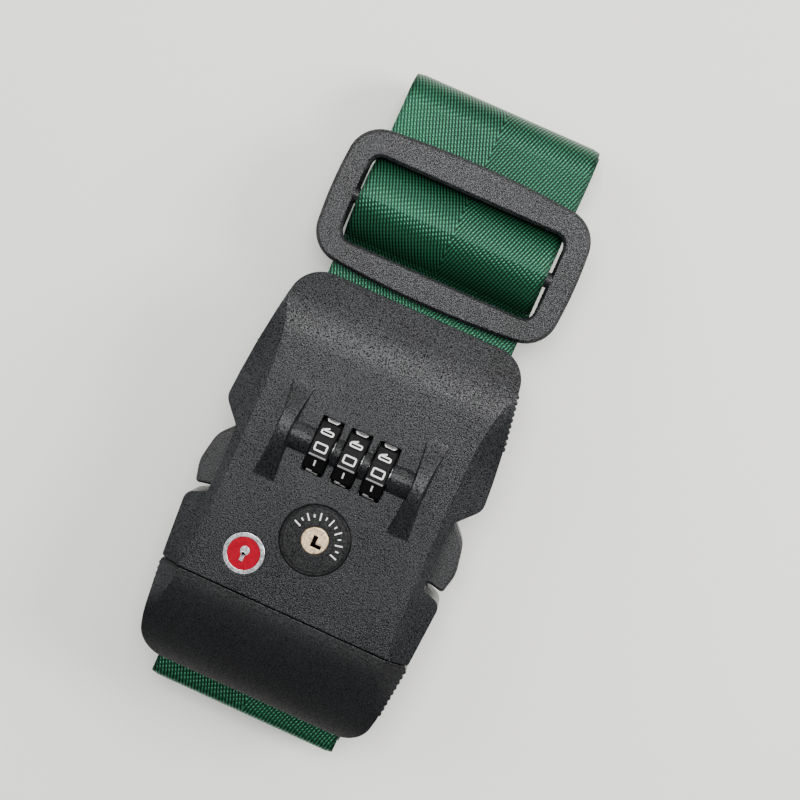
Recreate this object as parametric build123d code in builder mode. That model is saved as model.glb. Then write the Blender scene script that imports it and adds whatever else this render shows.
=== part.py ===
from build123d import *
from math import sqrt
import os

os.makedirs("parts", exist_ok=True)

# A webbing strap with a slider and a combination-lock buckle, lying flat: the buckle on top,
# the unused length wound flat under it. X is across the strap, +Y towards the slider, +Z up.

# Driving dimensions, millimetres
strap_width = 50.0
ply = 1.3  # thickness of the webbing
slot_half = 26.2  # half the width of the slots that the webbing runs through
layers = 11  # plies wound under the buckle
half_length = 83.0  # from the centre to the outside of each fold
gap = 0.3  # between the wound strap and what rides on it
parting_y = -52.0  # the line where plug and housing meet
under_z = layers * ply + gap  # underside of the buckle

crown_z = 18.5  # height of the housing's panel above its underside
split_z = 8.0  # where the two shells of the housing meet
floor_z = 1.8
housing_end = 79.8
plug_end = -24.2
plug_start = -0.4
half_width = 34.5
far = 30.0  # higher than anything in the buckle

dial_y, dial_z = 40.8, 15.84
dial_radius, dial_width, dial_pitch, dial_slot = 7.3, 5.2, 7.5, 5.6
dial_xs = [-dial_pitch, 0.0, dial_pitch]
spindle_radius = 2.0
running = 0.05  # radial clearance of a shaft
sleeve_radius = 3.2
spindle_start, spindle_end, spring_room_end = -18.0, 16.2, 18.9
spring_room_radius, reset_hole_radius = 2.6, 1.0
cover_radius = 4.4  # half-round cover over the spindle
ear_x, ear_top, ear_reach = 17.65, 22.8, 13.4
ear_waist, ear_flare = 4.2, 6.2  # the ears' widths in the middle and at the ends, at their foot

key_y, key_radius, barrel_radius, disc_radius = 19.3, 3.45, 5.5, 8.7
badge_x, badge_y, badge_radius = -14.5, 9.3, 5.2
arm_low, arm_high = 2.1, 9.0  # the arms' heights
pivot_x, pivot_y, pivot_radius = 23.0, -2.6, 1.9

socket_bar_y, socket_bar_z, socket_bar_radius = 70.5, 5.6, 2.2
plug_bar_y, plug_bar_z, plug_bar_radius = -13.0, 6.6, 2.0
slider_y, slider_low, slider_thick = 99.8, 3.1, 3.8
slider_bar_z, slider_bar_radius = 5.0, 2.0

# Planes of the buckle: plan, side view, and sections across the strap
deck = Plane(origin=(0, parting_y, under_z))
side = Plane(origin=(0, parting_y, under_z), x_dir=(0, 1, 0), z_dir=(1, 0, 0))


def section(y):
    """Plane across the strap at y from the parting line; its own y is height."""
    return Plane(origin=(0, parting_y + y, under_z), x_dir=(1, 0, 0), z_dir=(0, -1, 0))


def symmetric_outline(right):
    """Closed outline from the (x, y, corner radius) of its right half, top to bottom."""
    corners = right + [(-x, y, r) for x, y, r in reversed(right)]
    FilletPolyline(*[(x, y) for x, y, _ in corners], radius=[r for *_, r in corners], close=True)


def block(x0, x1, y0, y1, z0, z1, mode=Mode.ADD):
    """Box between two corners, in the buckle's own coordinates."""
    with BuildSketch(deck.offset(z0)) as face:
        with Locations(((x0 + x1) / 2, (y0 + y1) / 2)):
            Rectangle(x1 - x0, y1 - y0)
    extrude(face.sketch, amount=z1 - z0, mode=mode)


def post(x, y, radius, z0, z1, mode=Mode.ADD):
    """Upright cylinder."""
    with BuildSketch(deck.offset(z0)) as face:
        with Locations((x, y)):
            Circle(radius)
    extrude(face.sketch, amount=z1 - z0, mode=mode)


def rod(y, z, radius, x0, x1, mode=Mode.ADD):
    """Cylinder along X."""
    with BuildSketch(side.offset(x0)) as face:
        with Locations((y, z)):
            Circle(radius)
    extrude(face.sketch, amount=x1 - x0, mode=mode)


def crown(y):
    """Height of the buckle's top at y: flat panel, then a round fall to each end."""
    if y > crown_flat_end:
        return crown_z - socket_fall + sqrt(socket_fall**2 - (y - crown_flat_end) ** 2)
    if y < plug_flat_end:
        return plug_z - plug_fall + sqrt(plug_fall**2 - (y - plug_flat_end) ** 2)
    return crown_z if y >= 0 else plug_z


crown_flat_end, socket_end_z = 62.0, 13.0
plug_flat_end, plug_z, plug_end_z = -2.0, 18.0, 9.5
socket_drop, socket_run = crown_z - socket_end_z, housing_end - crown_flat_end
plug_drop, plug_run = plug_z - plug_end_z, plug_flat_end - plug_end
socket_fall = (socket_run**2 + socket_drop**2) / (2 * socket_drop)
plug_fall = (plug_run**2 + plug_drop**2) / (2 * plug_drop)

socket_right = [
    (29.0, housing_end, 8.0),
    (32.9, 56.0, 20.0),
    (33.7, 49.0, 12.0),
    (34.2, 42.0, 3.6),
    (28.8, 36.6, 2.2),
    (28.8, 19.2, 0.8),
    (34.1, 16.7, 2.8),
    (33.0, 0.0, 0.6),
]
plug_right = [(32.9, plug_start, 0.6), (31.4, -15.0, 10.0), (29.8, plug_end, 7.6)]
bevel_out = 37.0  # the bevel's cutter reaches this far from the centre line
waist_y, waist_x = 37.0, 26.3  # the panel is narrowest here
bevel_fall, bevel_end, bevel_fade = 6.4, 72.0, 50.0
plug_ridge, plug_flare, plug_bevel_start, plug_bevel_run = 27.6, 4.0, 1.0, 17.0
tooth_radius, tooth_low, tooth_high = 0.62, 3.0, 12.0
# The first and last tooth's x and y, and how many there are
socket_teeth = (32.55, 57.6, 30.4, 70.6, 10)
plug_teeth = (32.7, -2.2, 31.4, -14.2, 9)


def socket_bevel(y):
    """Half-width of the socket's panel at y, and how far its bevel falls out to bevel_out."""
    if y < waist_y:
        ridge = waist_x + 1.4 * ((waist_y - y) / waist_y) ** 2
    else:
        ridge = waist_x + 4.5 * ((y - waist_y) / (bevel_end - waist_y)) ** 4
    fade = max(0.0, (y - bevel_fade) / (bevel_end - bevel_fade)) ** 1.6
    return ridge, max(0.1, bevel_fall * (1 - fade))


def plug_bevel(y):
    """The same for the plug, whose panel flares to its end."""
    share = (plug_bevel_start - y) / plug_bevel_run
    return plug_ridge + plug_flare * share**2.2, max(0.1, bevel_fall * (1 - share**1.5))


def bevel_sides(shape, start, stop, count):
    """Cuts the sloping side bevels of the panel, lofted through triangles across the strap."""
    for hand in (1, -1):
        triangles = []
        for k in range(count + 1):
            y = start + (stop - start) * k / count
            ridge, fall = shape(y)
            with BuildSketch(section(y)) as triangle:
                with BuildLine():
                    Polyline(
                        (hand * ridge, crown(y)),
                        (hand * bevel_out, crown(y) - fall),
                        (hand * bevel_out, crown(y) + 4),
                        close=True,
                    )
                make_face()
            triangles.append(triangle.sketch)
        loft(triangles, ruled=True, mode=Mode.SUBTRACT)


def grip_teeth(x0, y0, x1, y1, count):
    """Row of small upright ridges along both sides, for the fingers."""
    for k in range(count):
        share = k / (count - 1)
        for hand in (1, -1):
            post(hand * (x0 + share * (x1 - x0)), y0 + share * (y1 - y0), tooth_radius, tooth_low, tooth_high)


def socket_form():
    """Closed outer form of the socket half, before its shells are hollowed."""
    with BuildSketch(deck) as plan:
        with BuildLine():
            symmetric_outline(socket_right)
        make_face()
    extrude(plan.sketch, amount=crown_z + 1)
    with BuildSketch(side) as profile:
        with BuildLine():
            flat = Polyline(
                (housing_end, socket_end_z), (housing_end, 0), (0, 0), (0, crown_z), (crown_flat_end, crown_z)
            )
            TangentArc(flat @ 1, flat @ 0, tangent=(1, 0))
        make_face()
    extrude(profile.sketch, amount=half_width + 1, both=True, mode=Mode.INTERSECT)
    bevel_sides(socket_bevel, -0.5, bevel_end, 22)
    grip_teeth(*socket_teeth)


ear_low = crown_z - 1.5
with BuildPart() as ears:
    for hand in (1, -1):
        start, stop = dial_y - ear_reach, dial_y + ear_reach
        with BuildSketch(deck.offset(ear_low)) as ear_plan:
            with BuildLine():
                right = ThreePointArc(
                    (hand * ear_x + ear_flare / 2, start),
                    (hand * ear_x + ear_waist / 2, dial_y),
                    (hand * ear_x + ear_flare / 2, stop),
                )
                left = ThreePointArc(
                    (hand * ear_x - ear_flare / 2, stop),
                    (hand * ear_x - ear_waist / 2, dial_y),
                    (hand * ear_x - ear_flare / 2, start),
                )
                Line(right @ 1, left @ 0)
                Line(left @ 1, right @ 0)
            make_face()
        extrude(ear_plan.sketch, amount=ear_top + 0.2 - ear_low, taper=6)
    with BuildSketch(side) as ear_profile:
        with BuildLine():
            bell = Spline(
                (dial_y - ear_reach, crown_z - 0.1),
                (dial_y - 0.58 * ear_reach, ear_top - 2.2),
                (dial_y, ear_top),
                (dial_y + 0.58 * ear_reach, ear_top - 2.2),
                (dial_y + ear_reach, crown_z - 0.1),
                tangents=[(1, 0.08), (1, -0.08)],
            )
            Polyline(bell @ 1, (dial_y + ear_reach, ear_low), (dial_y - ear_reach, ear_low), bell @ 0)
        make_face()
    extrude(ear_profile.sketch, amount=half_width, both=True, mode=Mode.INTERSECT)

screw_spots = [(13.5, 5.0), (-13.5, 5.0), (21.0, 56.0), (-21.0, 56.0)]
screw_radius, head_radius, head_height, screw_length = 1.0, 1.9, 1.3, 12.0
boss_radius = 2.7
bay_x, bay_start, bay_end, bay_z = 14.2, 8.5, 50.5, 16.3
arm_bay_x, arm_bay_end, arm_bay_z = 29.3, 41.5, 9.3
strap_bay_x, strap_bay_start, strap_bay_end = 26.4, 63.5, 77.8
strap_bay_z, socket_bar_half = 11.6, 28.4
panel_seat = 17.0
badge_seat, badge_inner = crown_z - 0.7, 4.1
sleeve_out = 3.5  # how far a code sleeve reaches past its dial's centre

with BuildPart() as upper_housing:
    socket_form()
    split(bisect_by=deck.offset(split_z), keep=Keep.TOP)
    add(ears)
    block(-bay_x, bay_x, bay_start, bay_end, split_z - 1, bay_z, Mode.SUBTRACT)
    block(-arm_bay_x, arm_bay_x, -1, arm_bay_end, split_z - 1, arm_bay_z, Mode.SUBTRACT)
    block(-strap_bay_x, strap_bay_x, strap_bay_start, strap_bay_end, split_z - 1, strap_bay_z, Mode.SUBTRACT)
    rod(dial_y, dial_z, cover_radius, -ear_x, ear_x)
    for x in dial_xs:
        rod(dial_y, dial_z, dial_radius + gap, x - dial_slot / 2, x + dial_slot / 2, Mode.SUBTRACT)
        rod(dial_y, dial_z, sleeve_radius + gap, x, x + sleeve_out + 0.2, Mode.SUBTRACT)
    rod(dial_y, dial_z, spindle_radius + running, spindle_start - 0.2, spring_room_end, Mode.SUBTRACT)
    rod(dial_y, dial_z, spring_room_radius, 15.2, spring_room_end, Mode.SUBTRACT)
    rod(dial_y, dial_z, reset_hole_radius, spindle_start - 3.0, spindle_start, Mode.SUBTRACT)
    post(0, key_y, disc_radius + 0.1, panel_seat, far, Mode.SUBTRACT)
    post(0, key_y, barrel_radius, split_z, far, Mode.SUBTRACT)
    post(badge_x, badge_y, badge_radius + 0.05, badge_seat, far, Mode.SUBTRACT)
    for x, y in screw_spots:
        post(x, y, screw_radius, split_z - 1, screw_length + 0.2, Mode.SUBTRACT)

with BuildPart() as lower_housing:
    socket_form()
    split(bisect_by=deck.offset(split_z), keep=Keep.BOTTOM)
    block(-arm_bay_x, arm_bay_x, -1, arm_bay_end, floor_z, split_z + 1, Mode.SUBTRACT)
    block(-bay_x, bay_x, -1, bay_end, floor_z, split_z + 1, Mode.SUBTRACT)
    block(-strap_bay_x, strap_bay_x, strap_bay_start, strap_bay_end, -1, split_z + 1, Mode.SUBTRACT)
    block(-strap_bay_x, strap_bay_x, strap_bay_end - 1, housing_end + 1, -1, 3.2, Mode.SUBTRACT)
    rod(socket_bar_y, socket_bar_z, socket_bar_radius, -socket_bar_half, socket_bar_half, Mode.SUBTRACT)
    for x, y in screw_spots:
        post(x, y, boss_radius, 0.5, split_z)
        post(x, y, screw_radius, -1, split_z + 1, Mode.SUBTRACT)
        post(x, y, head_radius, -1, head_height, Mode.SUBTRACT)

with BuildPart() as housing_screws:
    for x, y in screw_spots:
        post(x, y, head_radius, 0.1, head_height)
        post(x, y, screw_radius, head_height, screw_length)
        with BuildSketch(deck.offset(0.1)):
            with Locations((x, y)):
                RegularPolygon(0.8, 6)
        extrude(amount=0.7, mode=Mode.SUBTRACT)

with BuildPart() as housing_strap_bar:
    rod(socket_bar_y, socket_bar_z, socket_bar_radius, -socket_bar_half, socket_bar_half)

# The lock -------------------------------------------------------------------
dials = []
sleeves = []
for x in dial_xs:
    with BuildPart() as dial:
        with BuildSketch(side.offset(x - dial_width / 2)):
            with Locations((dial_y, dial_z)):
                RegularPolygon(dial_radius, 10, rotation=0)
                Circle(sleeve_radius, mode=Mode.SUBTRACT)
        extrude(amount=dial_width)
        rims = dial.faces().filter_by(Axis.X).edges().filter_by(GeomType.LINE)
        chamfer(rims, 0.35)
    dials.append(dial)
    with BuildPart() as sleeve:
        rod(dial_y, dial_z, sleeve_radius, x - dial_width / 2, x + sleeve_out)
        rod(dial_y, dial_z, spindle_radius + running, x - dial_width, x + sleeve_out + 1, Mode.SUBTRACT)
        gate = dial_z - sleeve_radius
        block(x + 2.7, x + 4, dial_y - 0.7, dial_y + 0.7, gate - 1, gate + 0.7, Mode.SUBTRACT)
    sleeves.append(sleeve)

with BuildPart() as dial_spindle:
    rod(dial_y, dial_z, spindle_radius, spindle_start, spindle_end)

with BuildPart() as spindle_clip:
    rod(dial_y, dial_z, 2.5, 15.3, 15.9)
    rod(dial_y, dial_z, spindle_radius, 15.0, 16.5, Mode.SUBTRACT)
    block(15.0, 16.5, dial_y - 1.2, dial_y + 1.2, dial_z - 4, dial_z, Mode.SUBTRACT)

spring_start, spring_turns, spring_pitch, spring_wire = 16.35, 4, 0.62, 0.3
with BuildPart() as spindle_spring:
    for k in range(spring_turns):
        x = spring_start + k * spring_pitch
        with BuildSketch(side.offset(x)):
            with Locations((dial_y, dial_z)):
                Circle(1.9)
                Circle(1.2, mode=Mode.SUBTRACT)
        extrude(amount=spring_wire)
    for k in range(spring_turns - 1):
        hand = 1 if k % 2 else -1
        x = spring_start + k * spring_pitch + spring_wire
        low, high = sorted((dial_y + hand * 1.3, dial_y + hand * 1.8))
        block(x, x + 0.32, low, high, dial_z - 0.4, dial_z + 0.4)

leaf_y = dial_y + dial_radius + 0.25
with BuildPart() as detent_spring:
    block(-11.0, 11.0, leaf_y, leaf_y + 0.3, 9.0, 12.0)
    for x in dial_xs:
        block(x - 1.8, x + 1.8, leaf_y, leaf_y + 0.3, 12.0, bay_z)
    block(-11.0, 11.0, leaf_y + 0.3, bay_end, 9.0, 9.3)

groove_radius, groove_width = 8.25, 0.4
with BuildPart() as key_disc:
    post(0, key_y, disc_radius, panel_seat, crown_z + 0.5)
    chamfer(key_disc.edges().group_by(Axis.Z)[-1], 0.3)
    with BuildSketch(deck.offset(crown_z + 0.1)):
        with Locations((0, key_y)):
            Circle(groove_radius)
            Circle(groove_radius - groove_width, mode=Mode.SUBTRACT)
    extrude(amount=1, mode=Mode.SUBTRACT)
    post(0, key_y, key_radius + running, 0, far, Mode.SUBTRACT)

with BuildPart() as key_barrel:
    post(0, key_y, barrel_radius, 9.9, panel_seat)
    post(0, key_y, key_radius + running, 0, far, Mode.SUBTRACT)

with BuildPart() as key_core:
    post(0, key_y, key_radius, 9.2, crown_z + 0.7)
    chamfer(key_core.edges().group_by(Axis.Z)[-1], 0.25)
    block(-0.6, 0.5, key_y - 1.6, key_y + 1.2, 12.0, far, Mode.SUBTRACT)
    block(-0.6, 2.1, key_y - 1.6, key_y - 0.7, 12.0, far, Mode.SUBTRACT)

with BuildPart() as key_clip:
    post(0, key_y, 4.6, 9.35, 9.75)
    post(0, key_y, key_radius, 0, far, Mode.SUBTRACT)
    block(-1.4, 1.4, key_y, key_y + 6, 0, far, Mode.SUBTRACT)

plate_low, plate_high = 7.6, 8.2
cam_arm, cam_pin = 3.0, 0.9
with BuildPart() as key_cam:
    post(0, key_y, 4.2, 8.5, 9.2)
    post(-cam_arm, key_y, cam_pin, plate_low + 0.1, 8.5)

with BuildPart() as lock_plate:
    block(-12.0, 12.0, 11.5, 47.0, plate_low, plate_high)
    block(-5.2, 5.2, key_y - 4.4, key_y + 4.4, 0, far, Mode.SUBTRACT)
    for x in dial_xs:
        block(x + 2.85, x + 3.45, dial_y + 3.4, dial_y + 4.6, plate_high, 11.1)

with BuildPart() as lock_spring:
    with BuildSketch(deck.offset(plate_low)):
        with BuildLine():
            FilletPolyline(
                (-6, 50.3), (-6, 47.3), (-3, 49.9), (0, 47.3), (3, 49.9), (6, 47.3), (6, 50.3), radius=0.7
            )
        trace(line_width=0.35)
    extrude(amount=0.5)

with BuildPart() as lock_cover:
    block(-13.9, 13.9, bay_start + 0.3, bay_end - 0.3, 6.8, 7.3)

with BuildPart() as badge_ring:
    post(badge_x, badge_y, badge_radius, badge_seat, crown_z + 0.1)
    chamfer(badge_ring.edges().group_by(Axis.Z)[-1], 0.15)
    post(badge_x, badge_y, badge_inner, 0, far, Mode.SUBTRACT)

with BuildPart() as badge_disc:
    post(badge_x, badge_y, badge_inner, badge_seat, crown_z - 0.05)

# The plug -------------------------------------------------------------------
plug_room_start, plug_room_end, plug_roof_z = -6.0, plug_end + 1.8, 14.4
plug_bar_half = 28.6
tongue_low, tongue_high = 2.6, 6.4
with BuildPart() as plug_body:
    with BuildSketch(deck):
        with BuildLine():
            symmetric_outline(plug_right)
        make_face()
    extrude(amount=crown_z)
    with BuildSketch(side):
        with BuildLine():
            base = Polyline(
                (plug_flat_end, plug_z),
                (plug_start, plug_z),
                (plug_start, 0),
                (plug_end, 0),
                (plug_end, plug_end_z),
            )
            TangentArc(base @ 0, base @ 1, tangent=(-1, 0))
        make_face()
    extrude(amount=half_width + 1, both=True, mode=Mode.INTERSECT)
    bevel_sides(plug_bevel, plug_bevel_start, plug_bevel_start - plug_bevel_run, 9)
    grip_teeth(*plug_teeth)
    with BuildSketch(side) as strap_room:
        with BuildLine():
            roof = Polyline(
                (plug_room_start, plug_roof_z),
                (plug_room_start, -1),
                (plug_room_end, -1),
                (plug_room_end, 7.9),
            )
            TangentArc(roof @ 0, roof @ 1, tangent=(-1, 0))
        make_face()
    extrude(strap_room.sketch, amount=slot_half, both=True, mode=Mode.SUBTRACT)
    block(-slot_half, slot_half, plug_end - 1, plug_room_end + 1, -1, 3.4, Mode.SUBTRACT)
    rod(plug_bar_y, plug_bar_z, plug_bar_radius, -plug_bar_half, plug_bar_half, Mode.SUBTRACT)
    for hand in (1, -1):
        post(hand * pivot_x, pivot_y, pivot_radius + gap, arm_low - gap, arm_high + gap, Mode.SUBTRACT)
        low, high = sorted((hand * 20.6, hand * 25.4))
        block(low, high, pivot_y, 1, arm_low - gap, arm_high + gap, Mode.SUBTRACT)
    block(-7.5, 7.5, -4.0, 1, tongue_low, tongue_high, Mode.SUBTRACT)

with BuildPart() as plug_tongue:
    with BuildSketch(deck.offset(tongue_low)):
        with BuildLine():
            symmetric_outline([(5.8, 33.0, 2.0), (7.5, 26.0, 4.0), (7.5, -4.0, 0)])
        make_face()
        with Locations((0, 20)):
            SlotOverall(14, 5, rotation=90, mode=Mode.SUBTRACT)
    extrude(amount=tongue_high - tongue_low)

with BuildPart() as plug_strap_bar:
    rod(plug_bar_y, plug_bar_z, plug_bar_radius, -plug_bar_half, plug_bar_half)

arm_points = [
    (21.3, -2.6, 0),
    (21.3, 16.0, 10.0),
    (22.4, 33.0, 8.0),
    (25.9, 39.4, 1.6),
    (28.1, 37.9, 2.0),
    (33.3, 32.2, 7.0),
    (34.8, 24.5, 9.0),
    (33.5, 19.0, 0.9),
    (29.2, 19.9, 1.0),
    (25.4, 12.5, 8.0),
    (24.7, -2.6, 0),
]
lobe_edge = 0.5
arms = []
for hand in (-1, 1):
    with BuildPart() as arm:
        with BuildSketch(deck.offset(arm_low)):
            with BuildLine():
                FilletPolyline(
                    *[(hand * x, y) for x, y, _ in arm_points], radius=[r for *_, r in arm_points], close=True
                )
            make_face()
        extrude(amount=arm_high - arm_low)
        chamfer(arm.edges().group_by(Axis.Z)[-1], lobe_edge)
        post(hand * pivot_x, pivot_y, pivot_radius, arm_low, arm_high)
    arms.append(arm)

# The slider -----------------------------------------------------------------
slider_half, slider_inner = 32.6, 25.9
rail_low, rail_high = slider_y - 18.3, slider_y + 19.0
window_half = 11.1
rail_bow, side_bow = 1.9, 1.3  # how far the rails and sides bow outwards in the middle
with BuildPart() as slider_frame:
    with BuildSketch(deck.offset(slider_low)):
        with BuildLine():
            corner_x = slider_half - side_bow
            low, high = rail_low + rail_bow, rail_high - rail_bow
            ThreePointArc((-corner_x, low), (0, rail_low), (corner_x, low))
            ThreePointArc((corner_x, low), (slider_half, slider_y), (corner_x, high))
            ThreePointArc((corner_x, high), (0, rail_high), (-corner_x, high))
            ThreePointArc((-corner_x, high), (-slider_half, slider_y), (-corner_x, low))
        frame_face = make_face()
        fillet(frame_face.vertices(), 8.5)
        with Locations((0, slider_y)):
            RectangleRounded(2 * slider_inner, 2 * window_half, 2.8, mode=Mode.SUBTRACT)
    extrude(amount=slider_thick)
    chamfer(slider_frame.edges().group_by(Axis.Z)[-1], 0.7)
    rod(slider_y, slider_bar_z, slider_bar_radius, -slider_inner - 1, slider_inner + 1)

# The webbing ----------------------------------------------------------------
# Paths run along the middle of the ply, in the side view: y from the parting line, height.
half = ply / 2
top_y, low_y = half_length - parting_y, -half_length - parting_y
ground = -under_z  # the surface that the strap lies on
seam = 112.0  # where the bottom ply of the top fold meets the wound strap


def webbing(path, radii, width=strap_width):
    """Flat strip along a path, with one fold radius for each inner point."""
    with BuildSketch(side) as strip:
        with BuildLine():
            FilletPolyline(*path, radius=radii)
        trace(line_width=ply)
    extrude(strip.sketch, amount=width / 2, both=True)


fold = (under_z + ply) / 2  # outer radius of the top fold
loop = socket_bar_radius + half + 0.1
bar_top, bar_low = socket_bar_z + loop, socket_bar_z - loop
with BuildPart() as strap_front:
    webbing(
        [
            (seam, ground + half),
            (top_y - half, ground + half),
            (top_y - half, half),
            (75.5, half),
            (73.2, bar_low),
            (socket_bar_y - loop, bar_low),
            (socket_bar_y - loop, bar_top),
            (socket_bar_y + loop, bar_top),
            (77.6, half + ply + 0.1),
            (83.0, half + ply + 0.1),
        ],
        [fold - half - 0.02, fold - half - 0.02, 2.0, 1.2, loop - 0.05, loop - 0.05, 2.2, 3.0],
    )

with BuildPart() as strap_roll:
    with BuildSketch(side):
        wound = (layers - 1) * ply - gap
        inner = wound - ply - 0.05
        inner_end = top_y - ply - 0.8
        with Locations(((low_y + seam) / 2, ground + wound / 2)):
            SlotOverall(seam - low_y, wound)
        with Locations(((seam - 20 + inner_end) / 2, ground + wound - inner / 2)):
            SlotOverall(inner_end - seam + 20, inner)
        with Locations((seam - 10, ground + half)):
            Rectangle(20, ply)
    extrude(amount=strap_width / 2, both=True)

plug_loop = plug_bar_radius + half + 0.1
exit_z = half + ply + 0.05
layer_z = ground + (layers - 1) * ply + half
hairpin = (exit_z - layer_z) / 2 - 0.02
with BuildPart() as strap_plug_loop:
    webbing(
        [
            (110.0, layer_z),
            (low_y + half, layer_z),
            (low_y + half, exit_z),
            (-21.5, exit_z),
            (-17.0, plug_bar_z + plug_loop),
            (plug_bar_y + plug_loop, plug_bar_z + plug_loop),
            (plug_bar_y + plug_loop, plug_bar_z - plug_loop),
            (-17.5, plug_bar_z - plug_loop),
            (-19.5, half),
            (-22.8, half),
        ],
        [hairpin, hairpin, 2.0, 1.6, plug_loop - 0.05, plug_loop - 0.05, 1.4, 1.2],
    )

ring = slider_bar_radius + half + 0.05
with BuildPart() as strap_sewn_end:
    webbing(
        [
            (91.0, slider_bar_z - ring),
            (slider_y + ring, slider_bar_z - ring),
            (slider_y + ring, slider_bar_z + ring),
            (slider_y - ring, slider_bar_z + ring),
            (slider_y - ring, slider_bar_z - 1.2),
        ],
        [ring - 0.05, ring - 0.05, ring - 0.05],
        strap_width - 1,
    )

hump = slider_bar_z + ring + ply + 0.1
hump_radius, hump_start, hump_sweep = 11.5, 27.0, 117.0
with BuildPart() as strap_over_bar:
    with BuildSketch(side) as arch:
        with BuildLine():
            CenterArc((slider_y, hump - hump_radius), hump_radius, hump_start, hump_sweep)
        trace(line_width=ply)
    extrude(arch.sketch, amount=strap_width / 2, both=True)

# Every piece, under the name of its file -------------------------------------
pieces = {
    "upper_housing": upper_housing,
    "lower_housing": lower_housing,
    "housing_screws": housing_screws,
    "housing_strap_bar": housing_strap_bar,
    "dial_spindle": dial_spindle,
    "spindle_clip": spindle_clip,
    "spindle_spring": spindle_spring,
    "detent_spring": detent_spring,
    "key_disc": key_disc,
    "key_barrel": key_barrel,
    "key_core": key_core,
    "key_clip": key_clip,
    "key_cam": key_cam,
    "lock_plate": lock_plate,
    "lock_spring": lock_spring,
    "lock_cover": lock_cover,
    "badge_ring": badge_ring,
    "badge_disc": badge_disc,
    "plug_body": plug_body,
    "plug_tongue": plug_tongue,
    "plug_strap_bar": plug_strap_bar,
    "arm_left": arms[0],
    "arm_right": arms[1],
    "slider_frame": slider_frame,
    "strap_front": strap_front,
    "strap_roll": strap_roll,
    "strap_plug_loop": strap_plug_loop,
    "strap_sewn_end": strap_sewn_end,
    "strap_over_bar": strap_over_bar,
}
for number in range(3):
    pieces[f"dial_{number + 1}"] = dials[number]
    pieces[f"code_sleeve_{number + 1}"] = sleeves[number]

for label, piece in pieces.items():
    piece.part.label = label
    export_step(piece.part, f"parts/{label}.step")
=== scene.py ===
"""Looks of the luggage strap: folded webbing, dial numbers, badge, plastics, metals, light and camera.

Lengths are in millimetres in the row's frame until a mesh is made, which is in metres.
"""

import math
import random

import bmesh
import bpy
from mathutils import Matrix, Vector


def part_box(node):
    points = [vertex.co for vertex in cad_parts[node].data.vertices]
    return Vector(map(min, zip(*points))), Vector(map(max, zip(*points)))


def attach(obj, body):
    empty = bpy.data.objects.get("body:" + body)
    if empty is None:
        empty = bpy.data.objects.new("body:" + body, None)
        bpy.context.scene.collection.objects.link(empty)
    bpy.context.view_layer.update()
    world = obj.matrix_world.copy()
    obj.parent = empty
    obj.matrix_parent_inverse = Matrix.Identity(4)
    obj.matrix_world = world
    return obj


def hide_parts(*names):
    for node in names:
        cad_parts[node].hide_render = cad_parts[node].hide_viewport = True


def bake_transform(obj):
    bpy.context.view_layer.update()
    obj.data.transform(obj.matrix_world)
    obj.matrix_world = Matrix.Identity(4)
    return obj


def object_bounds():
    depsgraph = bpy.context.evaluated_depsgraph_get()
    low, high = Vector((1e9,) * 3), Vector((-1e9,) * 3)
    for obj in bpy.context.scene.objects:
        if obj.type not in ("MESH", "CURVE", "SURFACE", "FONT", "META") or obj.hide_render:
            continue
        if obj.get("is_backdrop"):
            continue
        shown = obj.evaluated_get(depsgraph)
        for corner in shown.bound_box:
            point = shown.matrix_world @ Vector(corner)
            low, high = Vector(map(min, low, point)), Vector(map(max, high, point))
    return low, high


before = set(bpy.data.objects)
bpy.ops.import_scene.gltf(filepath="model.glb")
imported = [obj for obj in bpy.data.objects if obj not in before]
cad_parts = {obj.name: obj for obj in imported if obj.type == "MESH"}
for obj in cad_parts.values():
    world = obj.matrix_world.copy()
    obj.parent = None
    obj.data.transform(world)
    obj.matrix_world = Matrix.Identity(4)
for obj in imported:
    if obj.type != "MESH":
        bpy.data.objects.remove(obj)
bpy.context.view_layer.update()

MM = 0.001


def box(node):
    """Lowest and highest corner of a CAD node, in millimetres."""
    low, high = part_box(node)
    return low / MM, high / MM


def centre(node):
    low, high = box(node)
    return (low + high) / 2


# Places taken from the CAD model ---------------------------------------------
strap_low, strap_high = box("strap_roll")
strap_width = strap_high.x - strap_low.x
deck_z = box("lower_housing")[0].z
parting_y = box("upper_housing")[0].y
socket_end_y = box("upper_housing")[1].y
slider_low, slider_high = box("slider_frame")
socket_bar = centre("housing_strap_bar")
plug_bar = centre("plug_strap_bar")
slider_bar = centre("strap_sewn_end")
slider_bar.y = centre("strap_over_bar").y
key = centre("key_core")
fold_out = -box("strap_plug_loop")[0].y  # the outside of each fold, from the centre

ply = 1.3
half = ply / 2
plies = 11
web_thick = 1.24  # thinner than a ply, so that plies don't touch
ROW_PITCH, FLOAT_PITCH = 0.00085, 0.00095  # of the weave, in metres
run_z = deck_z + half  # middle of the flat run under the slider
layer_z = [half + ply * k for k in range(plies)] + [run_z]


# Mesh helpers ----------------------------------------------------------------
def add_object(name, bm, material, smooth=40):
    """Object from a bmesh in millimetres."""
    bm.transform(Matrix.Scale(MM, 4))
    bm.normal_update()
    mesh = bpy.data.meshes.new(name)
    bm.to_mesh(mesh)
    bm.free()
    for face in mesh.polygons:
        face.use_smooth = True
    mesh.set_sharp_from_angle(angle=math.radians(smooth))
    mesh.materials.append(material)
    piece = bpy.data.objects.new(name, mesh)
    bpy.context.collection.objects.link(piece)
    return piece


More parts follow.
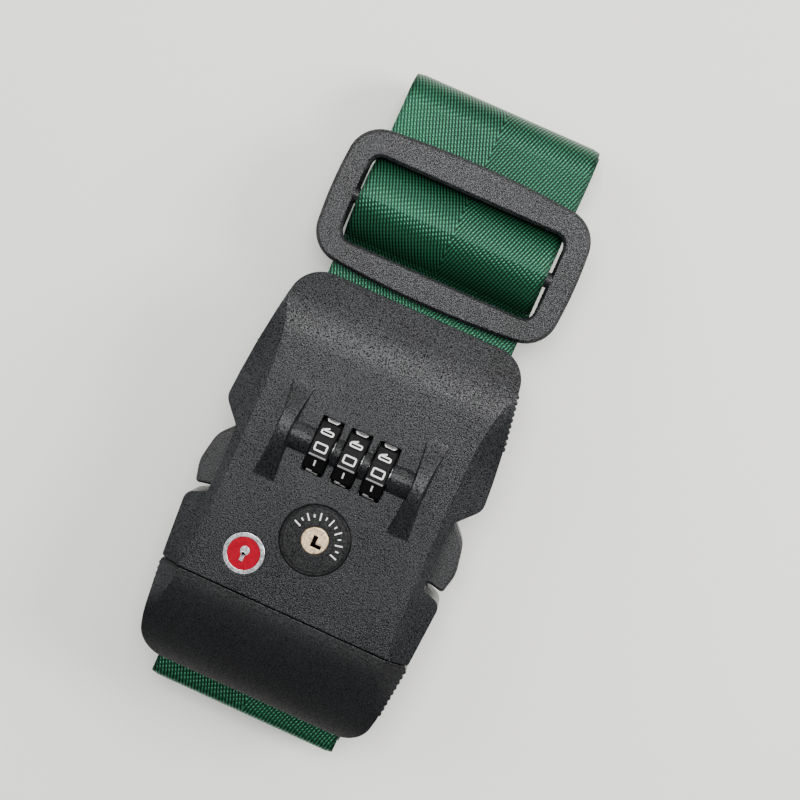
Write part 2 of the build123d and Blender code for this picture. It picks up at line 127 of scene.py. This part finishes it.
def rounded(points, radii, turn=math.radians(9), stretch=2.5, closed=False):
    """Points along a polyline whose corners are rounded by arcs, no further apart than stretch."""
    count = len(points)
    corners = range(count) if closed else range(1, count - 1)
    vectors = [Vector(p) for p in points]
    path = [] if closed else [vectors[0]]
    for n, k in enumerate(corners):
        here, before, after = vectors[k], vectors[k - 1], vectors[(k + 1) % count]
        a, b = (before - here).normalized(), (after - here).normalized()
        bend = math.pi - a.angle(b)
        radius = radii[n] if hasattr(radii, "__len__") else radii
        reach = radius * math.tan(bend / 2)
        middle = here + (a + b).normalized() * (radius / math.cos(bend / 2))
        spoke = here + a * reach - middle
        sweep = math.copysign(bend, a.x * b.y - a.y * b.x) * -1
        steps = max(2, math.ceil(bend / turn))
        path += [middle + Matrix.Rotation(sweep * i / steps, 2) @ spoke for i in range(steps + 1)]
    if not closed:
        path.append(vectors[-1])
    dense = [path[0]]
    for p in path[1:]:
        gap = (p - dense[-1]).length
        if gap < 1e-6:
            continue
        parts = max(1, math.ceil(gap / stretch))
        origin = dense[-1].copy()
        dense += [origin.lerp(p, i / parts) for i in range(1, parts + 1)]
    return dense


def drift(seed, length, step, size):
    """Smooth random curve of arc length, the same each run."""
    random.seed(seed)
    knots = [random.uniform(-size, size) for _ in range(int(length / step) + 3)]

    def value(s):
        k = min(max(s / step, 0), len(knots) - 2)
        n = int(k)
        f = k - n
        f = f * f * (3 - 2 * f)
        return knots[n] * (1 - f) + knots[n + 1] * f

    return value


def ribbon(name, path, material, start=0.0, heading=1, seed=1, wander=0.25):
    """Webbing along a path of (y, z): a closed strip with thin soft edges, and UVs in metres.

    start is the arc length at its first point and heading is 1 or -1 for whether it then grows,
    so that the weave runs on from piece to piece.
    Returns the piece and its length.
    """
    width = strap_width
    lengths = [0.0]
    for a, b in zip(path, path[1:]):
        lengths.append(lengths[-1] + (b - a).length)
    total = lengths[-1]
    sway = drift(seed, total, 45, wander)
    ripple = drift(seed + 50, total, 18, 0.03)
    columns, selvedge = 24, 1.6
    cross = []  # of each column: its place across the width, and its share of the full thickness
    for j in range(columns + 1):
        u = -1 + 2 * j / columns
        rim = max(0.0, (abs(u) * width / 2 - (width / 2 - selvedge)) / selvedge)
        spread = math.sin(u * math.pi / 2) * 0.15 * width / 2 + u * 0.85 * width / 2
        cross.append((spread, 1 - 0.55 * rim**2))
    bm = bmesh.new()
    uv = bm.loops.layers.uv.new("weave")
    rings = []
    for i, spot in enumerate(path):
        before, after = path[max(i - 1, 0)], path[min(i + 1, len(path) - 1)]
        along = (after - before).normalized()
        out = Vector((-along.y, along.x))
        fade = min(1.0, lengths[i] / 12, (total - lengths[i]) / 12)  # so that pieces meet end to end
        slip, lift = sway(lengths[i]) * fade, ripple(lengths[i]) * fade
        top, low = [], []
        for x, share in cross:
            reach = web_thick / 2 * share
            y, z = spot.x + out.x * (reach + lift), spot.y + out.y * (reach + lift)
            top.append(bm.verts.new((x + slip, y, z)))
            y, z = spot.x - out.x * (reach - lift), spot.y - out.y * (reach - lift)
            low.append(bm.verts.new((x + slip, y, z)))
        rings.append((top, low))

    def quad(corners, marks):
        face = bm.faces.new(corners)
        for loop, (u, v) in zip(face.loops, marks):
            loop[uv].uv = (u * MM, v * MM)

    for i in range(len(rings) - 1):
        (top_a, low_a), (top_b, low_b) = rings[i], rings[i + 1]
        va, vb = start + heading * lengths[i], start + heading * lengths[i + 1]
        for j in range(columns):
            ua, ub = cross[j][0], cross[j + 1][0]
            marks = [(ua, va), (ub, va), (ub, vb), (ua, vb)]
            quad([top_a[j], top_a[j + 1], top_b[j + 1], top_b[j]], marks)
            quad([low_b[j], low_b[j + 1], low_a[j + 1], low_a[j]], [marks[3], marks[2], marks[1], marks[0]])
        for j, flip in ((0, False), (columns, True)):
            u = cross[j][0]
            corners = [low_a[j], top_a[j], top_b[j], low_b[j]]
            marks = [(u, va), (u, va), (u, vb), (u, vb)]
            quad(corners[::-1] if flip else corners, marks[::-1] if flip else marks)
    for (top, low), flip, v in ((rings[0], False, start), (rings[-1], True, start + heading * total)):
        for j in range(columns):
            corners = [low[j], low[j + 1], top[j + 1], top[j]]
            marks = [(cross[j][0], v), (cross[j + 1][0], v), (cross[j + 1][0], v), (cross[j][0], v)]
            quad(corners[::-1] if flip else corners, marks[::-1] if flip else marks)
    bmesh.ops.recalc_face_normals(bm, faces=bm.faces)
    return add_object(name, bm, material, smooth=50), total


def strip(bm, outline, width, place, low=-0.05, high=0.06, closed=False):
    """Flat raised line of the given width along 2D points; place maps (a, b, height) to 3D."""
    count = len(outline)
    rails = []
    for i, spot in enumerate(outline):
        before = outline[i - 1] if closed or i else spot
        after = outline[(i + 1) % count] if closed or i < count - 1 else spot
        along = (after - before).normalized()
        out = Vector((-along.y, along.x)) * width / 2
        rails.append([
            bm.verts.new(place(*(spot + out * hand), height))
            for hand, height in ((1, low), (1, high), (-1, high), (-1, low))
        ])
    pairs = list(zip(rails, rails[1:])) + ([(rails[-1], rails[0])] if closed else [])
    for a, b in pairs:
        for k in range(4):
            bm.faces.new((a[k], a[(k + 1) % 4], b[(k + 1) % 4], b[k]))
    if not closed:
        bm.faces.new(rails[0][::-1])
        bm.faces.new(rails[-1])


# Materials -------------------------------------------------------------------
class Shader:
    """A material with one Principled shader, and short ways to add nodes to it."""

    def __init__(self, name, **sockets):
        self.material = bpy.data.materials.new(name)
        self.material.use_nodes = True
        self.tree = self.material.node_tree
        self.surface = self.tree.nodes["Principled BSDF"]
        for socket, value in sockets.items():
            self.surface.inputs[socket.replace("_", " ")].default_value = value

    def node(self, kind, links=(), **settings):
        made = self.tree.nodes.new(kind)
        for key_name, value in settings.items():
            setattr(made, key_name, value)
        for socket, source in dict(links).items():
            target = made.inputs[socket]
            if isinstance(source, bpy.types.NodeSocket):
                self.tree.links.new(source, target)
            else:
                target.default_value = source
        return made

    def math(self, operation, *sources):
        return self.node("ShaderNodeMath", enumerate(sources), operation=operation).outputs[0]

    def ramp(self, factor, low, high, start=0.0, stop=1.0):
        """Colour from low to high as factor goes from start to stop."""
        made = self.node("ShaderNodeValToRGB", {"Fac": factor})
        first, last = made.color_ramp.elements
        first.position, last.position = start, stop
        first.color, last.color = (*low, 1), (*high, 1)
        return made.outputs["Color"]

    def noise(self, scale, detail=2.0, vector=None):
        vector = vector or self.node("ShaderNodeTexCoord").outputs["Object"]
        return self.node(
            "ShaderNodeTexNoise", {"Vector": vector, "Scale": scale, "Detail": detail}
        ).outputs["Fac"]

    def relief(self, height, depth, strength=1.0, edge=0.0):
        """Bumps the surface by height times depth in metres, over edges rounded by edge."""
        links = {"Height": height, "Distance": depth, "Strength": strength}
        if edge:
            links["Normal"] = self.node("ShaderNodeBevel", {"Radius": edge}, samples=6).outputs[0]
        bump = self.node("ShaderNodeBump", links)
        self.tree.links.new(bump.outputs[0], self.surface.inputs["Normal"])

    def link(self, source, socket):
        self.tree.links.new(source, self.surface.inputs[socket])


def grained_plastic(
    name, dark, light, grain=3600, depth=0.00009, rough=(0.22, 0.38), gloss=0.26, edge=0.0004
):
    """Moulded plastic with a fine spark-eroded grain, dull in its hollows.

    grain is its noise's scale, depth its relief in metres, rough the roughness of its peaks and
    hollows, gloss its mean specular level and edge the radius its edges are rounded by, in metres.
    """
    made = Shader(name, Specular_IOR_Level=gloss)
    speckle = made.noise(grain, 3.0)
    patch = made.noise(60, 2.0)
    mixed = made.math("ADD", made.math("MULTIPLY", speckle, 0.85), made.math("MULTIPLY", patch, 0.15))
    made.link(made.ramp(mixed, dark, light, 0.42, 0.7), "Base Color")
    made.link(made.ramp(speckle, (rough[1],) * 3, (rough[0],) * 3, 0.35, 0.7), "Roughness")
    made.link(made.ramp(speckle, (0,) * 3, (gloss * 2.3,) * 3, 0.32, 0.72), "Specular IOR Level")
    made.relief(speckle, depth, 0.9, edge)
    return made.material


def smooth_plastic(name, colour, roughness, specular=0.5):
    made = Shader(name, Specular_IOR_Level=specular)
    cloud = made.noise(900, 4.0)
    low = tuple(c * 0.85 for c in colour)
    made.link(made.ramp(cloud, low, colour, 0.3, 0.7), "Base Color")
    made.link(made.ramp(cloud, (roughness * 0.85,) * 3, (roughness * 1.15,) * 3, 0.3, 0.7), "Roughness")
    made.relief(cloud, 0.000006, 0.6, 0.00018)
    return made.material


def metal(name, colour, roughness, stretch=(1, 1, 1), scale=900, edge=0.00015):
    """Metal with fine tool marks, drawn out along the axes where stretch is small."""
    made = Shader(name, Metallic=1.0)
    place = made.node("ShaderNodeTexCoord").outputs["Object"]
    drawn = made.node("ShaderNodeMapping", {"Vector": place, "Scale": stretch}).outputs[0]
    marks = made.noise(scale, 5.0, drawn)
    low = tuple(c * 0.72 for c in colour)
    made.link(made.ramp(marks, low, colour, 0.3, 0.65), "Base Color")
    made.link(made.ramp(marks, (roughness * 0.7,) * 3, (roughness * 1.3,) * 3, 0.3, 0.7), "Roughness")
    made.relief(marks, 0.00001, 0.7, edge)
    return made.material


def webbing_material():
    """Green herringbone twill: slanted rows of short floats that mirror at the centre line."""
    made = Shader("webbing", Sheen_Weight=0.06, Sheen_Roughness=0.3, Metallic=0.7, Anisotropic=0.8)
    made.surface.inputs["Sheen Tint"].default_value = (0.75, 1.0, 0.85, 1)
    uv = made.node("ShaderNodeUVMap", uv_map="weave").outputs[0]
    split = made.node("ShaderNodeSeparateXYZ", {"Vector": uv})
    across = made.math("ABSOLUTE", split.outputs[0])
    along = split.outputs[1]
    fuzz = made.noise(5200, 3.0)
    tone = made.noise(38, 2.0)
    wobble = made.math("MULTIPLY", made.noise(260, 2.0), 0.35)
    slant = made.math("MULTIPLY", along, math.tan(math.radians(20)) / ROW_PITCH)
    row = made.math("SUBTRACT", made.math("DIVIDE", across, ROW_PITCH), slant)
    row = made.math("ADD", row, wobble)
    stagger = made.math("MULTIPLY", made.math("ROUND", row), 0.38)
    step = made.math("ADD", made.math("DIVIDE", along, FLOAT_PITCH), stagger)
    ridge = made.math("SINE", made.math("MULTIPLY", row, math.tau))
    dash = made.math("SINE", made.math("MULTIPLY", step, math.tau))
    ridge = made.math("POWER", made.math("MULTIPLY_ADD", ridge, 0.5, 0.5), 1.2)
    dash = made.math("MULTIPLY_ADD", dash, 0.5, 0.5)
    thread = made.math("MULTIPLY", ridge, made.math("MULTIPLY_ADD", dash, 0.5, 0.5))
    edge = made.node(
        "ShaderNodeMapRange", {"Value": across, "From Min": 0.0238, "From Max": 0.0244}
    ).outputs[0]
    thread = made.math("MULTIPLY", thread, made.math("MULTIPLY_ADD", edge, -0.5, 1.0))
    height = made.math("ADD", thread, made.math("MULTIPLY", fuzz, 0.12))
    # base colour: near black in the gaps between floats and rows is painted shade; the floats' green and
    # the random tone are the webbing's own
    painted_shade_and_tone = made.math("ADD", made.math("MULTIPLY", thread, 0.85), made.math("MULTIPLY", tone, 0.2))
    made.link(made.ramp(painted_shade_and_tone, (0.0008, 0.005, 0.004), (0.03, 0.205, 0.1), 0.1, 0.95), "Base Color")
    made.link(made.ramp(thread, (0.5,) * 3, (0.29,) * 3), "Roughness")
    made.link(made.node("ShaderNodeTangent", direction_type="UV_MAP", uv_map="weave").outputs[0], "Tangent")
    made.relief(height, 0.00013, 0.8)
    return made.material


def keyway_brass():
    """Brass with painted shade: its colour goes near black below its face, where the keyway's wafers would
    shade it.
    """
    made = Shader("brass_core", Metallic=1.0)
    place = made.node("ShaderNodeTexCoord").outputs["Object"]
    depth = made.node("ShaderNodeSeparateXYZ", {"Vector": place}).outputs[2]
    top = box("key_core")[1].z * MM
    face = made.node(
        "ShaderNodeMapRange", {"Value": depth, "From Min": top - 0.0009, "From Max": top - 0.0002}
    ).outputs[0]
    marks = made.noise(1500, 5.0)
    # painted shade below the face, times the real tool marks: near black deeper in, brass at the face
    painted_shade_and_marks = made.math("MULTIPLY", face, made.math("MULTIPLY_ADD", marks, 0.6, 0.55))
    made.link(made.ramp(painted_shade_and_marks, (0.006, 0.005, 0.004), (0.83, 0.62, 0.4)), "Base Color")
    made.link(made.ramp(marks, (0.24,) * 3, (0.42,) * 3, 0.3, 0.7), "Roughness")
    made.relief(marks, 0.00003, 0.8, 0.0002)
    return made.material


CHARCOAL_DARK, CHARCOAL_LIGHT = (0.0015, 0.0016, 0.0018), (0.033, 0.035, 0.039)
materials = {
    "housing": grained_plastic("housing", CHARCOAL_DARK, CHARCOAL_LIGHT),
    "plug": grained_plastic(
        "plug", (0.003, 0.0031, 0.0033), (0.014, 0.0145, 0.016),
        grain=4800, depth=0.00003, rough=(0.3, 0.4), gloss=0.3,
    ),
    "slider": grained_plastic(
        "slider", (0.0015, 0.0016, 0.0018), (0.04, 0.0415, 0.046),
        grain=3900, gloss=0.26,
    ),
    "arm": grained_plastic(
        "arm", (0.004, 0.0043, 0.005), (0.02, 0.021, 0.023),
        grain=4200, depth=0.00004, rough=(0.3, 0.45), gloss=0.4,
    ),
    "key_plate": grained_plastic(
        "key_plate", (0.002, 0.0022, 0.0024), (0.016, 0.0165, 0.018),
        grain=4600, depth=0.00003, rough=(0.3, 0.4), gloss=0.22, edge=0.0002,
    ),
    "dial": smooth_plastic("dial", (0.0025, 0.0025, 0.0027), 0.35, specular=0.15),
    "white": smooth_plastic("white_paint", (0.86, 0.86, 0.84), 0.45),
    # light grey used only for the painted edge highlight on the dials
    "grey": smooth_plastic("painted_highlight_grey", (0.26, 0.26, 0.27), 0.4),
    "red": smooth_plastic("red_enamel", (0.32, 0.001, 0.014), 0.22, specular=0.15),
    "brass_core": keyway_brass(),
    "brass": metal("brass", (0.78, 0.6, 0.38), 0.34, scale=1400),
    "silver": metal("silver_rim", (0.82, 0.82, 0.84), 0.25, scale=1200),
    "steel": metal("steel", (0.58, 0.59, 0.6), 0.32, stretch=(0.15, 1, 1)),
    "spring": metal("spring_steel", (0.5, 0.51, 0.53), 0.22, scale=1500),
    "webbing": webbing_material(),
}
cad_finish = {
    "housing": ["upper_housing", "lower_housing"],
    "steel": [
        "housing_screws", "housing_strap_bar", "lock_cover", "lock_plate", "code_sleeve_1",
        "code_sleeve_2", "code_sleeve_3", "dial_spindle", "plug_strap_bar",
    ],
    "key_plate": ["key_disc"],
    "brass": ["key_barrel", "key_cam"],
    "brass_core": ["key_core"],
    "spring": ["key_clip", "detent_spring", "lock_spring", "spindle_clip", "spindle_spring"],
    "silver": ["badge_ring"],
    "red": ["badge_disc"],
    "dial": ["dial_1", "dial_2", "dial_3"],
    "plug": ["plug_body", "plug_tongue"],
    "arm": ["arm_left", "arm_right"],
    "slider": ["slider_frame"],
}
for finish, nodes in cad_finish.items():
    for node in nodes:
        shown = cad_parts[node]
        shown.data.materials.clear()
        shown.data.materials.append(materials[finish])


# Springs ---------------------------------------------------------------------
def joined_spring(node, axis, moving_end, fixed_end):
    """A copy of the spring of a CAD node, baked in place as a loose object, and the CAD node is hidden; its
    end places along axis are computed but not used.
    """
    spring = bpy.data.objects.new(f"{node}_coil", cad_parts[node].data.copy())
    bpy.context.collection.objects.link(spring)
    start, end = Vector((0, 0, 0)), Vector((0, 0, 0))
    start[axis], end[axis] = moving_end * MM, fixed_end * MM
    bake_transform(spring)
    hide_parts(node)


for spring_node, moving_body, axis in (("spindle_spring", "spindle", 0), ("lock_spring", "plate", 1)):
    low, high = box(spring_node)
    joined_spring(spring_node, axis, low[axis], high[axis])


# Webbing ---------------------------------------------------------------------
run_start = fold_out - half - (layer_z[11] - layer_z[0]) / 2  # where the flat run leaves the outer fold
layer_10_end = 60.0


def wound_route():
    """The wound length: from the fold at the slider's end, in and out of a flat double spiral."""
    order = [11, 0, 9, 2, 7, 4, 5, 6, 3, 8, 1, 10]
    points, radii = [(run_start, layer_z[11])], []
    for n, (a, b) in enumerate(zip(order, order[1:])):
        hand = 1 if n % 2 == 0 else -1
        y = hand * (fold_out - half - ply * min(a, b))
        points += [(y, layer_z[a]), (y, layer_z[b])]
        radii += [abs(layer_z[a] - layer_z[b]) / 2 - 0.005] * 2  # just under a half turn's radius
    return rounded(points + [(layer_10_end, layer_z[10])], radii)


loop_mid = half + 0.1  # the webbing's middle line runs this far off a bar's surface
hump_z = box("strap_over_bar")[1].z - half
hump_radius, hump_slope = 11.5, math.radians(65)
hump_reach = hump_radius * math.tan(hump_slope / 2)


def route(stops):
    """Path through stops of (y, z) and, between the first and last, the radius each is rounded by."""
    return rounded([stop[:2] for stop in stops], [stop[2] for stop in stops[1:-1]])


def hump_side(hand, z, radius):
    """Stops from the crest of the hump over the slider's bar to the level z under a rail."""
    corner = slider_bar.y + hand * hump_reach
    return [
        (slider_bar.y, hump_z),
        (corner, hump_z, hump_radius),
        (corner + hand * (hump_z - z) / math.tan(hump_slope), z, radius),
    ]


over_route = route([*hump_side(1, run_z, 2.6), (run_start, run_z)])

slider_bar_radius, socket_bar_radius, plug_bar_radius = 2.0, 2.2, 2.0
ring = slider_bar_radius + half + 0.05
socket_loop = socket_bar_radius + loop_mid
upper_z = run_z + ply + 0.1
under_route = route([
    *hump_side(-1, upper_z, 2.4),
    (socket_end_y - 2.5, upper_z, 3.0),
    (socket_bar.y + socket_loop + 0.4, socket_bar.z + socket_loop, 2.4),
    (socket_bar.y - socket_loop, socket_bar.z + socket_loop, 2.9),
    (socket_bar.y - socket_loop, socket_bar.z - socket_loop, 2.9),
    (socket_bar.y + 3.0, socket_bar.z - socket_loop, 1.2),
    (socket_bar.y + 5.4, run_z, 2.0),
    (slider_low.y + 8.0, run_z, 6.0),
    (slider_bar.y - 3.0, slider_bar.z - ring, 6.0),
    (slider_bar.y + ring, slider_bar.z - ring, 2.65),
    (slider_bar.y + ring, slider_bar.z + ring, 2.65),
    (slider_bar.y - ring, slider_bar.z + ring, 2.6),
    (slider_bar.y - ring - 0.3, slider_bar.z - 1.6, 1.1),
    (slider_bar.y - 7.8, slider_bar.z - 2.5),
])

plug_loop = plug_bar_radius + loop_mid
exit_z = deck_z + half + ply + 0.05
plug_route = route([
    (layer_10_end, layer_z[10]),
    (-fold_out + half, layer_z[10], 1.45),
    (-fold_out + half, exit_z, 1.45),
    (parting_y - 21.5, exit_z, 2.0),
    (plug_bar.y - 4.0, plug_bar.z + plug_loop, 1.6),
    (plug_bar.y + plug_loop, plug_bar.z + plug_loop, 2.7),
    (plug_bar.y + plug_loop, plug_bar.z - plug_loop, 2.7),
    (plug_bar.y - 4.5, plug_bar.z - plug_loop, 1.4),
    (plug_bar.y - 6.5, run_z, 1.2),
    (plug_bar.y - 9.8, run_z),
])

green = materials["webbing"]
over, over_length = ribbon("webbing_over_slider", over_route, green, seed=3)
wound, wound_length = ribbon("webbing_wound", wound_route(), green, start=over_length, seed=4, wander=0.45)
under, under_length = ribbon("webbing_to_housing", under_route, green, heading=-1, seed=3)
tail, tail_length = ribbon("webbing_to_plug", plug_route, green, seed=6)

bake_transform(over)
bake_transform(under)
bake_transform(tail)
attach(wound, "housing")
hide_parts("strap_over_bar")
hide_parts("strap_front", "strap_sewn_end")
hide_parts("strap_roll")
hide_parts("strap_plug_loop")


# Dial numbers ----------------------------------------------------------------
def marking(name, bm, material, body):
    """Finishes raised marks and fixes them to a body."""
    bmesh.ops.recalc_face_normals(bm, faces=bm.faces)
    piece = add_object(name, bm, materials[material])
    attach(piece, body)


# Strokes on a grid from -1 to 1, each a line of points and whether it is closed
DIGITS = {
    0: [([(-1, -1), (1, -1), (1, 1), (-1, 1)], True)],
    1: [([(0, -1), (0, 1)], False)],
    2: [([(-1, 1), (1, 1), (1, 0), (-1, -1), (1, -1)], False)],
    3: [([(-1, 1), (1, 1), (0, 0.1), (1, 0.1), (1, -1), (-1, -1)], False)],
    4: [([(0.2, 1), (-1, -0.3), (1, -0.3)], False), ([(0.5, 0.4), (0.5, -1)], False)],
    5: [([(1, 1), (-1, 1), (-1, 0.1), (1, 0.1), (1, -1), (-1, -1)], False)],
    6: [([(-1, -1), (1, -1), (1, 0.1), (-1, 0.1)], True), ([(-1, 0.1), (0.1, 1)], False)],
    7: [([(-1, 1), (1, 1), (-0.2, -1)], False)],
    8: [([(-1, -1), (1, -1), (1, 0), (-1, 0)], True), ([(-0.8, 0), (0.8, 0), (0.8, 1), (-0.8, 1)], True)],
    9: [([(-1, -0.1), (1, -0.1), (1, 1), (-1, 1)], True), ([(1, -0.1), (-0.1, -1)], False)],
}
digit_wide, digit_tall, stroke = 1.45, 0.92, 0.42
facet = math.radians(36)
for number in (1, 2, 3):
    low, high = box(f"dial_{number}")
    axle = (low + high) / 2
    reach = (high.z - low.z) / 2
    marks = bmesh.new()
    for digit, strokes in DIGITS.items():
        turn = Matrix.Rotation(facet * digit, 3, "X")

        def on_facet(a, b, height, turn=turn):
            return axle + turn @ Vector((-a, -b, reach + height))

        for outline, closed in strokes:
            corners = [(a * digit_wide, b * digit_tall) for a, b in outline]
            rounds = 0.3 if len(corners) > 2 else 0.0
            line = rounded(corners, rounds, math.radians(20), 4.0, closed)
            strip(marks, line, stroke, on_facet, closed=closed)
    marking(f"dial_{number}_numbers", marks, "white", f"wheel_{number}")

    # A light grey strip on the facet edge between 0 and 1: a painted highlight where that edge catches the
    # light.
    painted_edge_highlight = bmesh.new()
    tilt = Matrix.Rotation(facet / 2, 3, "X")
    rim = reach / math.cos(facet / 2)

    def on_edge(a, b, height):
        return axle + tilt @ Vector((a, b, rim + height))

    strip(painted_edge_highlight, [Vector((-2.2, 0)), Vector((2.2, 0))], 0.42, on_edge, low=-0.2, high=0.05)
    marking(f"dial_{number}_index", painted_edge_highlight, "grey", f"wheel_{number}")


# Key plate marks and badge ---------------------------------------------------
plate_z = box("key_disc")[1].z
ticks = bmesh.new()
tick_count = 13


def on_plate(a, b, height):
    return Vector((key.x + a, key.y + b, plate_z + height))


for n in range(tick_count):
    angle = math.radians(-18 + 176 * n / (tick_count - 1))
    out = Vector((math.cos(angle), math.sin(angle)))
    inner, outer = (5.0, 6.9) if n % 2 == 0 else (5.6, 6.4)
    strip(ticks, [out * inner, out * outer], 0.34, on_plate)
marking("key_plate_ticks", ticks, "white", "housing")

badge = centre("badge_disc")
badge_top = box("badge_disc")[1].z
keyhole = bmesh.new()


def on_badge(a, b, height):
    return Vector((badge.x + a, badge.y + b, badge_top + height))


turns = [math.tau * k / 40 for k in range(40)]
keyhole_round = [Vector((0.62 * math.cos(a), 0.7 + 0.62 * math.sin(a))) for a in turns]
strip(keyhole, keyhole_round, 1.1, on_badge, closed=True)
strip(keyhole, [Vector((0, 0.3)), Vector((0, -2.0))], 0.95, on_badge)
marking("badge_keyhole", keyhole, "silver", "housing")


# Stage, light and camera -----------------------------------------------------
def paint(name, colour, roughness):
    made = Shader(name)
    cloud = made.noise(6, 3.0)
    made.link(made.ramp(cloud, tuple(c * 0.985 for c in colour), colour, 0.3, 0.7), "Base Color")
    made.surface.inputs["Roughness"].default_value = roughness
    return made.material


ground = bmesh.new()
bmesh.ops.create_grid(ground, x_segments=2, y_segments=2, size=3000)
floor = add_object("floor", ground, paint("floor_paint", (0.95, 0.945, 0.895), 0.7))
floor.location.z = -0.05 * MM
floor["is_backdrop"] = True


def area_light(name, spot, target, size, power, colour=(1, 1, 1)):
    lamp = bpy.data.lights.new(name, "AREA")
    lamp.shape = "RECTANGLE"
    lamp.size, lamp.size_y = size
    lamp.energy = power
    lamp.color = colour
    holder = bpy.data.objects.new(name, lamp)
    holder.location = spot
    holder.rotation_mode = "QUATERNION"
    holder.rotation_quaternion = (Vector(target) - Vector(spot)).to_track_quat("-Z", "Y")
    bpy.context.collection.objects.link(holder)


area_light("overhead", (-0.03, 0.23, 1.05), (0, 0, 0), (0.5, 0.44), 10.0)
area_light("window", (-1.0, 0.1, 0.75), (0, 0, 0), (0.9, 0.9), 5.5, (0.97, 0.985, 1.0))
area_light("back", (0.2, 1.15, 0.8), (0, 0, 0), (0.9, 0.7), 8.0, (1.0, 0.99, 0.97))
area_light("fill", (0.85, 0.45, 0.6), (0, 0, 0), (0.5, 0.5), 13.0, (1.0, 0.985, 0.96))
world = bpy.data.worlds.new("studio")
world.use_nodes = True
world.node_tree.nodes["Background"].inputs["Color"].default_value = (0.95, 0.97, 1.0, 1)
world.node_tree.nodes["Background"].inputs["Strength"].default_value = 0.3
bpy.context.scene.world = world

camera_spot = Vector((19.1, 29.5, 450.0)) * MM
aim = Vector((4.5, 6.0, 20.0)) * MM
roll = math.radians(24.06)
lens_camera = bpy.data.cameras.new("camera")
lens_camera.sensor_width = 36.0
lens_camera.lens = 78.3
lens_camera.clip_start = 0.01
camera = bpy.data.objects.new("camera", lens_camera)
forward = (aim - camera_spot).normalized()
up = Vector((-math.sin(roll), math.cos(roll), 0))
side = forward.cross(up).normalized()
up = side.cross(forward)
camera.matrix_world = Matrix((
    (side.x, up.x, -forward.x, camera_spot.x),
    (side.y, up.y, -forward.y, camera_spot.y),
    (side.z, up.z, -forward.z, camera_spot.z),
    (0, 0, 0, 1),
))
bpy.context.collection.objects.link(camera)
bpy.context.scene.camera = camera

low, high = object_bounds()
